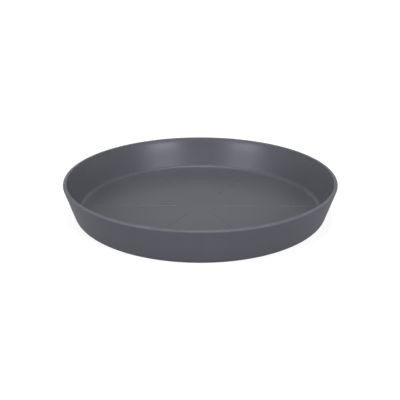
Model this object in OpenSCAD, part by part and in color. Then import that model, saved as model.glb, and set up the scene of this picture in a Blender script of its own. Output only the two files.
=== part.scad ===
// Round plant saucer, moulded in one piece. A shallow dish with a leaning wall and a level rim catches
// the water that drains from a pot. Low ribs on the floor keep the pot's drain holes open.
// The origin is the middle of the foot, on the surface that the saucer stands on, with +Z up.

/* [Dish] */
// Diameter over the rim
rim_d = 300; // [160:1:500]
// Height from the foot to the top of the rim
height = 39.5; // [24:0.5:80]
// Lean of the wall away from upright, in degrees
wall_lean = 17.2; // [4:0.1:35]
// Thickness of the wall, square to its face
wall_t = 4; // [3.2:0.1:6]
// Thickness of the floor
floor_t = 2.2; // [1.6:0.1:4]

/* [Edges] */
// Radius of the rim's outer edge
rim_outer_r = 1.6; // [0.4:0.1:2]
// Radius of the rim's inner edge
rim_inner_r = 0.6; // [0.3:0.1:0.8]
// Radius of the rounded edge between the wall and the foot
heel_r = 8; // [2:0.5:12]
// Radius of the hollow corner between the floor and the wall
corner_r = 5; // [1:0.5:12]

/* [Foot] */
// Height of the foot ring, which is also the depth of the hollow inside it
foot_h = 0.8; // [0.6:0.1:3]
// Width of the flat ring that the saucer stands on
foot_w = 11; // [4:0.5:30]
// Run of the slope from the foot ring up to the hollow
foot_slope = 2; // [0.5:0.5:6]

/* [Floor ribs] */
// Number of ribs round the floor
rib_count = 6; // [3:1:12]
// Width of a rib where it meets the floor
rib_w = 2.4; // [1.2:0.1:6]
// Height of a rib above the floor
rib_h = 0.4; // [0.2:0.1:2]
// Distance from the middle of the floor to the ribs' inner ends
rib_start = 25; // [10:1:40]
// Distance from the ribs' outer ends to the edge of the flat floor
rib_end_gap = 10; // [2:1:20]

/* [Gate mark] */
// Diameter of the dimple in the middle of the floor
dimple_d = 7; // [2:0.5:14]
// Depth of the dimple
dimple_depth = 0.2; // [0.1:0.05:0.8]
// Diameter of the stub that the gate leaves under the floor
gate_d = 4; // [1:0.5:10]
// How far that stub stays clear of the ground
gate_clear = 0.4; // [0.1:0.1:0.5]

/* [Hidden] */
$fn = 96;
// Overlap that makes a join or a cut whole
eps = 0.5;
// Depth by which a straight face runs into a curve that it touches, so that the two meet in one line
weld = 0.002;

floor_z = foot_h + floor_t;
// Centre of the rim's outer edge in the section
rim_outer = [rim_d / 2 - rim_outer_r, height - rim_outer_r];
// Radius of the wall's outer and inner faces, carried down to the ground
outer_ground_r = rim_outer.x + rim_outer_r / cos(wall_lean) - rim_outer.y * tan(wall_lean);
inner_ground_r = outer_ground_r - wall_t / cos(wall_lean);
// Centres of the rim's inner edge and of the two round edges at the foot of the wall
rim_inner_z = height - rim_inner_r;
rim_inner = [face_r(inner_ground_r, rim_inner_z) + rim_inner_r / cos(wall_lean), rim_inner_z];
heel_centre = [face_r(outer_ground_r, heel_r) - heel_r / cos(wall_lean), heel_r];
corner_z = floor_z + corner_r;
corner_centre = [face_r(inner_ground_r, corner_z) - corner_r / cos(wall_lean), corner_z];
foot_inner_r = heel_centre.x - foot_w;

// A rib's crest is part of a circle through the rib's two feet and its top
rib_r = crest_r(rib_w, rib_h);
rib_axis_z = floor_z + rib_h - rib_r;
rib_end = corner_centre.x - rib_end_gap;
dimple_r = crest_r(dimple_d, dimple_depth);

// Radius of a wall face at height z, where ground_r is its radius at the ground
function face_r(ground_r, z) = ground_r + z * tan(wall_lean);

// Radius of the circle of which a crest of this width and height is a part
function crest_r(width, rise) = (width * width / 4 + rise * rise) / (2 * rise);

// The point at distance r from a centre in the section, square to the wall and outwards
function wall_side(centre, r) = centre + r * [cos(wall_lean), -sin(wall_lean)];

// Everything inside the wall's outer face, from the ground up to the rim
module outer_section() {
    polygon([
        [0, 0],
        [heel_centre.x, 0],
        wall_side(heel_centre, heel_r - weld),
        wall_side(rim_outer, rim_outer_r - weld),
        [rim_outer.x, height - weld],
        [0, height - weld],
    ]);
    translate(heel_centre) circle(heel_r);
    translate(rim_outer) circle(rim_outer_r);
}

// The hollow of the dish, which leaves the rim's inner edge round and is open at the top
module hollow_section() {
    difference() {
        polygon([
            [0, floor_z + weld],
            [corner_centre.x, floor_z + weld],
            wall_side(corner_centre, corner_r - weld),
            wall_side(rim_inner, weld - rim_inner_r),
            [rim_inner.x, height - weld],
            [rim_inner.x, height + eps],
            [0, height + eps],
        ]);
        translate(rim_inner) circle(rim_inner_r);
    }
    translate(corner_centre) circle(corner_r);
}

// Half of the section through the saucer
module dish_section() {
    difference() {
        outer_section();
        hollow_section();
    }
}

// The shallow hollow inside the foot ring, with the stub of the gate left in its middle
module foot_hollow() {
    difference() {
        translate([0, 0, -eps])
            cylinder(h = foot_h + eps, r1 = foot_inner_r + eps * foot_slope / foot_h, r2 = foot_inner_r - foot_slope);
        translate([0, 0, gate_clear])
            cylinder(h = foot_h, d = gate_d);
    }
}

// One rib along +X: a bar with a round crest and round ends, rooted in the floor
module floor_rib() {
    first = rib_start + rib_w / 2;
    last = rib_end - rib_w / 2;
    intersection() {
        union() {
            translate([first, 0, rib_axis_z]) rotate([0, 90, 0]) cylinder(h = last - first, r = rib_r);
            for (x = [first, last])
                translate([x, 0, rib_axis_z]) sphere(rib_r);
        }
        translate([0, -rib_w, floor_z - eps]) cube([rim_d / 2, 2 * rib_w, rib_h + 2 * eps]);
    }
}

module saucer() {
    color("#505158") {
        difference() {
            rotate_extrude() dish_section();
            foot_hollow();
            translate([0, 0, floor_z + dimple_r - dimple_depth]) sphere(dimple_r);
        }
        for (i = [0 : rib_count - 1])
            rotate(i * 360 / rib_count) floor_rib();
    }
}

saucer();
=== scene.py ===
"""A round plant saucer of grey plastic on a white studio table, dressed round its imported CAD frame."""
import math

import bpy
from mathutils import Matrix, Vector


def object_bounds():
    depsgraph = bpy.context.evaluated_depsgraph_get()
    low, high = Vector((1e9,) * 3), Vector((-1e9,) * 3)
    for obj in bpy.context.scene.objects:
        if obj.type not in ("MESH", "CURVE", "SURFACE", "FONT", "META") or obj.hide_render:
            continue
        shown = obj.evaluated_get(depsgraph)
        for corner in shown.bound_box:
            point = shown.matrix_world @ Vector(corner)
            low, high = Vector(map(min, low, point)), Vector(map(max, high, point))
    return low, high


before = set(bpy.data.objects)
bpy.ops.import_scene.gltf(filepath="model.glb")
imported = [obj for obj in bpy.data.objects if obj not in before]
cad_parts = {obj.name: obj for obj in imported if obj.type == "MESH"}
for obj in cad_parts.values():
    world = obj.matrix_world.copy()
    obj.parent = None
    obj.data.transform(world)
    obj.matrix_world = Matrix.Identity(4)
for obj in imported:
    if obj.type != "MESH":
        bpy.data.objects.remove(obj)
cad_low, cad_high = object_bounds()
RIM_Z = cad_high[2]

# Camera, in metres and degrees: where the photograph was taken from
EYE_DISTANCE = 0.721
EYE_AZIMUTH = 1.0
EYE_ELEVATION = 22.64
AIM = Vector((-0.00032, 0, 0.00953))
LENS_MM = 57.17
SENSOR_MM = 36.0

# Light
WORLD_LIGHT = 0.06
LAMP_DISTANCE = 1.6
SIDE_TINT = (1.0, 0.985, 1.08)

# The white paper, in metres: a round table and a wall all round it
PAPER_GREY = 0.29
PAPER_RADIUS = 6.0
PAPER_SIDES = 96
WALL_HEIGHT = 1.6

# The paper's glow is weaker in the middle of the table, where the lamps light it too
MIDDLE_GLOW = 0.85
MIDDLE_RADIUS = 0.3
FULL_GLOW_RADIUS = 1.3

# The plastic, in linear colour
PLASTIC = (0.0934, 0.0972, 0.1062)
PLASTIC_SPECULAR = 0.24
DISH_ROUGHNESS = 0.38
WALL_ROUGHNESS = 0.3
OUTSIDE_ROUGHNESS = 0.65
ADDED_BY_SCUFFS = 0.25
# The rim top is painted lighter by this gain, partly as wear and partly as a painted highlight, and gets at
# least this share of it everywhere
RIM_WEAR_AND_HIGHLIGHT_GAIN = 1.28
LEAST_RIM_WEAR_AND_HIGHLIGHT = 0.5

# Depths below the top of the rim, in metres, where polish, scuffs and the rim's wear and painted highlight
# begin and where they are full
POLISHED_DEPTHS = (0.018, 0.008)
SCUFFED_DEPTHS = (0.0055, 0.001)
RIM_WEAR_AND_HIGHLIGHT_DEPTHS = (0.0012, 0.0004)

# How much more a surface faces outwards than up, where the mould's texture begins and where it is full
TEXTURED_FACING = (0.2, 0.9)

# Marks in the plastic: the size of their cells, in metres, and how far they swing shade or roughness
GRAIN_CELL = 0.0009
GRAIN_SWING = 0.03
MOTTLE_CELL = 0.045
MOTTLE_SWING = 0.03
MOTTLE_ROUGHNESS_SWING = 0.02
RIM_WEAR_AND_HIGHLIGHT_CELL = 0.012
# Flow marks are drawn on bearings, which lie on a circle of radius 1
FLOW_CELL = 0.08
FLOW_SWING = 0.015
# The grain is a bump too, with its depth in metres
BUMP_STRENGTH = 0.12
BUMP_DEPTH = 0.0001

# Nearly all of the soft noise lies in this range
NOISE_RANGE = (0.3, 0.7)


def direction(azimuth, elevation):
    """Unit vector from the saucer, in degrees; azimuth 0 is the camera's side and 90 is on its right."""
    a, e = math.radians(EYE_AZIMUTH + azimuth), math.radians(elevation)
    return Vector((math.sin(a) * math.cos(e), -math.cos(a) * math.cos(e), math.sin(e)))


def add_camera():
    data = bpy.data.cameras.new("camera")
    data.lens = LENS_MM
    data.sensor_width = SENSOR_MM
    camera = bpy.data.objects.new("camera", data)
    camera.location = direction(0, EYE_ELEVATION) * EYE_DISTANCE + Vector((AIM.x, 0, 0))
    camera.rotation_euler = (AIM - camera.location).to_track_quat("-Z", "Y").to_euler()
    bpy.context.scene.collection.objects.link(camera)
    bpy.context.scene.camera = camera


def add_softbox(name, azimuth, elevation, width, height, watts, tint=(1, 1, 1)):
    """A rectangular lamp, in metres, that faces the saucer from a direction."""
    data = bpy.data.lights.new(name, "AREA")
    data.shape = "RECTANGLE"
    data.size = width
    data.size_y = height
    data.energy = watts
    data.color = tint
    lamp = bpy.data.objects.new(name, data)
    lamp.location = direction(azimuth, elevation) * LAMP_DISTANCE
    lamp.rotation_euler = (-lamp.location).to_track_quat("-Z", "Y").to_euler()
    bpy.context.scene.collection.objects.link(lamp)


def connect(tree, value, socket):
    """Links a socket to another, or sets it to a constant."""
    if isinstance(value, bpy.types.NodeSocket):
        tree.links.new(value, socket)
    else:
        socket.default_value = value


def add_node(tree, kind, settings=None, **inputs):
    """A new shader node with its settings; an input is a constant, or a socket to link."""
    made = tree.nodes.new("ShaderNode" + kind)
    for name, value in (settings or {}).items():
        setattr(made, name, value)
    for name, value in inputs.items():
        connect(tree, value, made.inputs[name])
    return made


def calculate(tree, operation, first, second):
    """The output of a maths node for two numbers."""
    made = add_node(tree, "Math", {"operation": operation})
    connect(tree, first, made.inputs[0])
    connect(tree, second, made.inputs[1])
    return made.outputs[0]


def vector_maths(tree, operation, *vectors):
    """The outputs of a maths node for vectors: Vector, or Value where the result is a number."""
    made = add_node(tree, "VectorMath", {"operation": operation})
    for vector, socket in zip(vectors, made.inputs):
        connect(tree, vector, socket)
    return made.outputs


def ramp(tree, value, start, end, low, high):
    """Takes a value from the range start to end into the range low to high, and no further."""
    made = add_node(tree, "MapRange", Value=value)
    for name, number in (("From Min", start), ("From Max", end), ("To Min", low), ("To Max", high)):
        made.inputs[name].default_value = number
    return made.outputs[0]


def under_rim(tree, height, depths, low, high):
    """Goes from low to high between two depths below the top of the rim, the deeper one first."""
    deep, shallow = depths
    return ramp(tree, height, RIM_Z - deep, RIM_Z - shallow, low, high)


def noise(tree, place, cell, detail=2.0):
    """Soft noise about 0.5, in cells of this size."""
    return add_node(tree, "TexNoise", Vector=place, Scale=1 / cell, Detail=detail).outputs[0]


def spread(tree, soft, low, high):
    """Takes soft noise into the range low to high."""
    return ramp(tree, soft, *NOISE_RANGE, low, high)


def seen_white(tree):
    """A factor that is 1 for the rays that see the white surroundings: camera, glossy and transmission."""
    path = add_node(tree, "LightPath").outputs
    either = calculate(tree, "MAXIMUM", path["Is Camera Ray"], path["Is Glossy Ray"])
    return calculate(tree, "MAXIMUM", either, path["Is Transmission Ray"])


def set_world():
    world = bpy.data.worlds.new("studio")
    world.use_nodes = True
    background = world.node_tree.nodes["Background"]
    background.inputs["Color"].default_value = (1, 1, 1, 1)
    background.inputs["Strength"].default_value = WORLD_LIGHT
    bpy.context.scene.world = world


def white_paper():
    """Pale paper with a glow that only shows where the paper is seen, so the table keeps the shadow."""
    material = bpy.data.materials.new("white_paper")
    material.use_nodes = True
    tree = material.node_tree
    tree.nodes.clear()
    away = vector_maths(tree, "LENGTH", add_node(tree, "NewGeometry").outputs["Position"])["Value"]
    level = ramp(tree, away, MIDDLE_RADIUS, FULL_GLOW_RADIUS, MIDDLE_GLOW, 1)
    glow = add_node(tree, "Emission", Strength=calculate(tree, "MULTIPLY", seen_white(tree), level))
    paper = add_node(tree, "BsdfDiffuse", Color=(PAPER_GREY, PAPER_GREY, PAPER_GREY, 1))
    both = add_node(tree, "AddShader")
    tree.links.new(paper.outputs[0], both.inputs[0])
    tree.links.new(glow.outputs[0], both.inputs[1])
    add_node(tree, "OutputMaterial", Surface=both.outputs[0])
    return material


def add_paper(name, material):
    """Names the mesh that was added last, and gives it the material."""
    sheet = bpy.context.object
    sheet.name = name
    sheet.data.materials.append(material)


def add_surroundings():
    """A white table, with a wall round it that puts white behind the saucer from every side."""
    material = white_paper()
    bpy.ops.mesh.primitive_circle_add(vertices=PAPER_SIDES, radius=PAPER_RADIUS, fill_type="NGON")
    add_paper("table", material)
    bpy.ops.mesh.primitive_cylinder_add(
        vertices=PAPER_SIDES, radius=PAPER_RADIUS, depth=WALL_HEIGHT, end_fill_type="NOTHING",
        location=(0, 0, WALL_HEIGHT / 2))
    add_paper("wall", material)


def grey_plastic():
    """Satin moulded plastic with a fine grain, faint flow marks, a rim top painted lighter as wear and as a
    painted highlight, and scuffs under the rim.
    """
    material = bpy.data.materials.new("grey_plastic")
    material.use_nodes = True
    tree = material.node_tree
    surface = add_node(tree, "TexCoord").outputs
    place, normal = surface["Object"], surface["Normal"]
    height = add_node(tree, "SeparateXYZ", Vector=place).outputs["Z"]
    flat = vector_maths(tree, "MULTIPLY", place, (1, 1, 0))["Vector"]
    bearing = vector_maths(tree, "NORMALIZE", flat)["Vector"]

    grain = noise(tree, place, GRAIN_CELL, detail=3.0)
    mottle = noise(tree, place, MOTTLE_CELL, detail=3.0)
    # Flow marks run straight out from the middle, so they depend on the bearing alone
    flow = noise(tree, bearing, FLOW_CELL, detail=4.0)
    # The top of the rim is painted lighter, partly as wear and partly as a painted highlight, more in some
    # places than in others
    patches = spread(tree, noise(tree, place, RIM_WEAR_AND_HIGHLIGHT_CELL), LEAST_RIM_WEAR_AND_HIGHLIGHT, 1)
    rim_wear_and_highlight = calculate(tree, "MULTIPLY", under_rim(tree, height, RIM_WEAR_AND_HIGHLIGHT_DEPTHS, 0, 1), patches)

    # The painted highlight and wear on the rim top lift the shade here
    shade = ramp(tree, rim_wear_and_highlight, 0, 1, 1, RIM_WEAR_AND_HIGHLIGHT_GAIN)
    for marks, swing in ((grain, GRAIN_SWING), (mottle, MOTTLE_SWING), (flow, FLOW_SWING)):
        shade = calculate(tree, "MULTIPLY", shade, spread(tree, marks, 1 - swing, 1 + swing))
    colour = add_node(tree, "VectorMath", {"operation": "SCALE"}, Scale=shade)
    colour.inputs[0].default_value = PLASTIC

    # The inside is smoothest high on the wall, but stacking has scuffed a band just under the rim
    polish = under_rim(tree, height, POLISHED_DEPTHS, DISH_ROUGHNESS, WALL_ROUGHNESS)
    inside = calculate(tree, "ADD", polish, under_rim(tree, height, SCUFFED_DEPTHS, 0, ADDED_BY_SCUFFS))
    # The mould is textured where the surface faces outwards or down
    outwards = vector_maths(tree, "DOT_PRODUCT", normal, bearing)["Value"]
    upwards = add_node(tree, "SeparateXYZ", Vector=normal).outputs["Z"]
    outside = ramp(tree, calculate(tree, "SUBTRACT", outwards, upwards), *TEXTURED_FACING, 0, 1)
    rough = add_node(tree, "Mix", {"data_type": "FLOAT"}, Factor=outside, A=inside, B=OUTSIDE_ROUGHNESS)
    uneven = spread(tree, mottle, -MOTTLE_ROUGHNESS_SWING, MOTTLE_ROUGHNESS_SWING)
    bump = add_node(tree, "Bump", Height=grain, Strength=BUMP_STRENGTH, Distance=BUMP_DEPTH)

    shader = tree.nodes["Principled BSDF"]
    shader.inputs["Specular IOR Level"].default_value = PLASTIC_SPECULAR
    tree.links.new(colour.outputs[0], shader.inputs["Base Color"])
    tree.links.new(calculate(tree, "ADD", rough.outputs["Result"], uneven), shader.inputs["Roughness"])
    tree.links.new(bump.outputs[0], shader.inputs["Normal"])
    return material


add_camera()
set_world()
add_surroundings()
add_softbox("left_softbox", azimuth=-46, elevation=24, width=0.75, height=0.5, watts=15.1, tint=SIDE_TINT)
add_softbox("right_softbox", azimuth=38, elevation=23, width=0.75, height=0.45, watts=15.3, tint=SIDE_TINT)
add_softbox("top_softbox", azimuth=180, elevation=86, width=0.8, height=0.8, watts=15.2)
add_softbox("back_softbox", azimuth=180, elevation=29, width=2.2, height=0.6, watts=3.1)

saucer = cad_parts["saucer"]
saucer.data.materials.clear()
saucer.data.materials.append(grey_plastic())

bpy.context.scene.view_settings.view_transform = "Standard"
